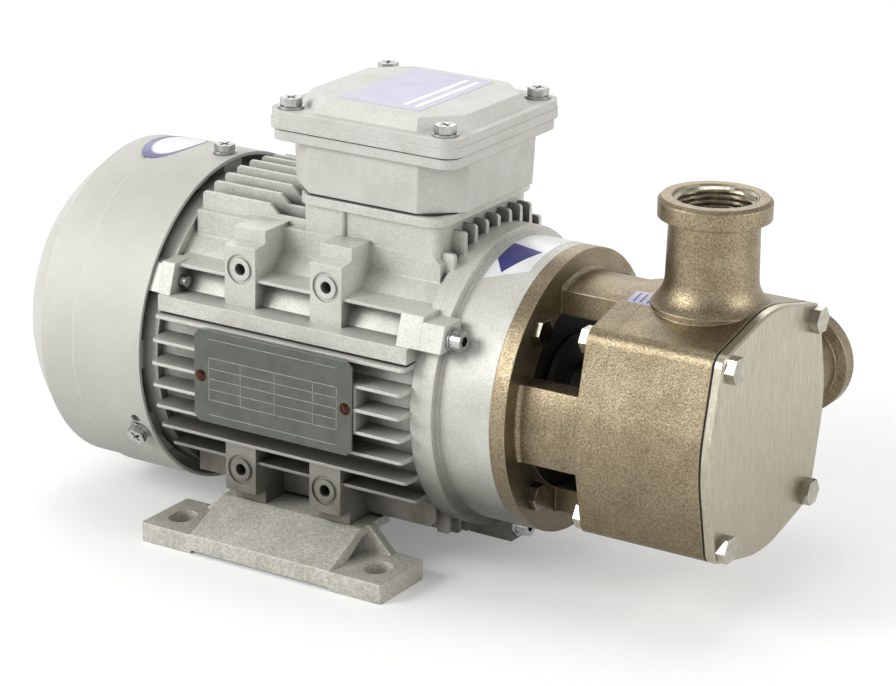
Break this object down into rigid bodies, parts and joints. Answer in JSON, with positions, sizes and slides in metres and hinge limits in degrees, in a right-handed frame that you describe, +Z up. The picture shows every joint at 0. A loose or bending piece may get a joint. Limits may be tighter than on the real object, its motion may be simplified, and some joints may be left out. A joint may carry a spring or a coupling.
{
  "type": "impeller pump",
  "caption": "Flexible impeller pump with square cast casing and two threaded ports, on a lantern bracket in front of a finned flange motor with fan cowl, terminal box and bolted feet.",
  "frame": {"origin": "On the floor, at the centre of the two foot slots at the drive end of the motor.", "axes": "+X along the shaft from the motor to the pump cover, +Y to the side of the inlet port, +Z up along the outlet port."},
  "size_m": [0.334, 0.1711, 0.195],
  "materials": {
    "painted_casting": "silver grey paint on die-cast aluminium",
    "painted_sheet": "silver grey paint on pressed steel sheet",
    "blasted_stainless": "blasted stainless steel casting, warm grey",
    "brushed_stainless": "brushed stainless steel plate",
    "stainless_fasteners": "bright rolled stainless steel",
    "zinc_fasteners": "bright zinc plated steel",
    "turned_steel": "turned and ground steel",
    "bearing_steel": "polished bearing steel",
    "cage_plastic": "glass filled polyamide",
    "electrical_steel": "stamped electrical steel laminations",
    "enamelled_copper": "varnished copper wire",
    "cast_aluminium": "die-cast aluminium cage",
    "black_rubber": "moulded nitrile rubber",
    "black_plastic": "moulded black plastic",
    "brass": "turned brass",
    "bronze": "turned bronze",
    "plate_enamel": "grey green etched plate with blank ruled lines",
    "copper_rivet": "dark copper rivets",
    "ceramic": "ground ceramic",
    "carbon": "lapped carbon"
  },
  "bodies": {
    "casing": {"motor_frame": "painted_casting", "drive_end_shield": "painted_casting", "rear_end_shield": "painted_casting", "end_shield_screws": "zinc_fasteners", "shield_screw_washers": "zinc_fasteners", "fan_cowl": "painted_sheet", "cowl_screws": "zinc_fasteners", "stator_core": "electrical_steel", "stator_windings": "enamelled_copper", "front_bearing_outer_ring": "bearing_steel", "rear_bearing_outer_ring": "bearing_steel", "wave_spring": "turned_steel", "flange_shaft_seal": "black_rubber", "terminal_box": "painted_casting", "terminal_box_gasket": "black_rubber", "terminal_box_lid": "painted_casting", "lid_gasket": "black_rubber", "lid_screws": "zinc_fasteners", "lid_screw_washers": "zinc_fasteners", "box_screws": "zinc_fasteners", "terminal_block": "black_plastic", "terminal_studs": "brass", "cable_gland": "black_plastic", "gland_seal": "black_rubber", "near_foot": "painted_casting", "far_foot": "painted_casting", "foot_bolts": "zinc_fasteners", "nameplate": "plate_enamel", "nameplate_rivets": "copper_rivet", "lantern_bracket": "blasted_stainless", "flange_bolts": "stainless_fasteners", "bracket_bolts": "stainless_fasteners", "pump_casing": "blasted_stainless", "cover_gasket": "black_rubber", "end_cover": "brushed_stainless", "cover_bolts": "stainless_fasteners", "cam": "bronze", "cam_screw": "stainless_fasteners", "seal_seat": "ceramic"},
    "rotor": {"motor_shaft": "turned_steel", "rotor_core": "cast_aluminium", "shaft_key": "turned_steel", "front_bearing_inner_ring": "bearing_steel", "rear_bearing_inner_ring": "bearing_steel", "cooling_fan": "black_plastic", "fan_retaining_ring": "turned_steel", "slinger_ring": "black_rubber", "pump_shaft": "turned_steel", "grub_screws": "stainless_fasteners", "impeller": "black_rubber", "impeller_hub": "bronze", "seal_ring": "carbon", "seal_bellows": "black_rubber", "seal_spring": "stainless_fasteners"},
    "front_cage": {"front_bearing_balls": "bearing_steel", "front_bearing_cage": "cage_plastic"},
    "rear_cage": {"rear_bearing_balls": "bearing_steel", "rear_bearing_cage": "cage_plastic"}
  },
  "joints": [
    {"name": "rotor_spin", "type": "hinge", "parent": "casing", "child": "rotor", "pos_m": [0, 0, 0.08], "axis": [1, 0, 0], "continuous": true, "deforming": ["impeller"]},
    {"name": "front_cage_spin", "type": "hinge", "parent": "casing", "child": "front_cage", "pos_m": [0.032, 0, 0.08], "axis": [1, 0, 0], "continuous": true},
    {"name": "rear_cage_spin", "type": "hinge", "parent": "casing", "child": "rear_cage", "pos_m": [-0.114, 0, 0.08], "axis": [1, 0, 0], "continuous": true}
  ],
  "couplings": [
    {"joint": "front_cage_spin", "follows": "rotor_spin", "ratio": 0.3815},
    {"joint": "rear_cage_spin", "follows": "rotor_spin", "ratio": 0.3815}
  ]
}
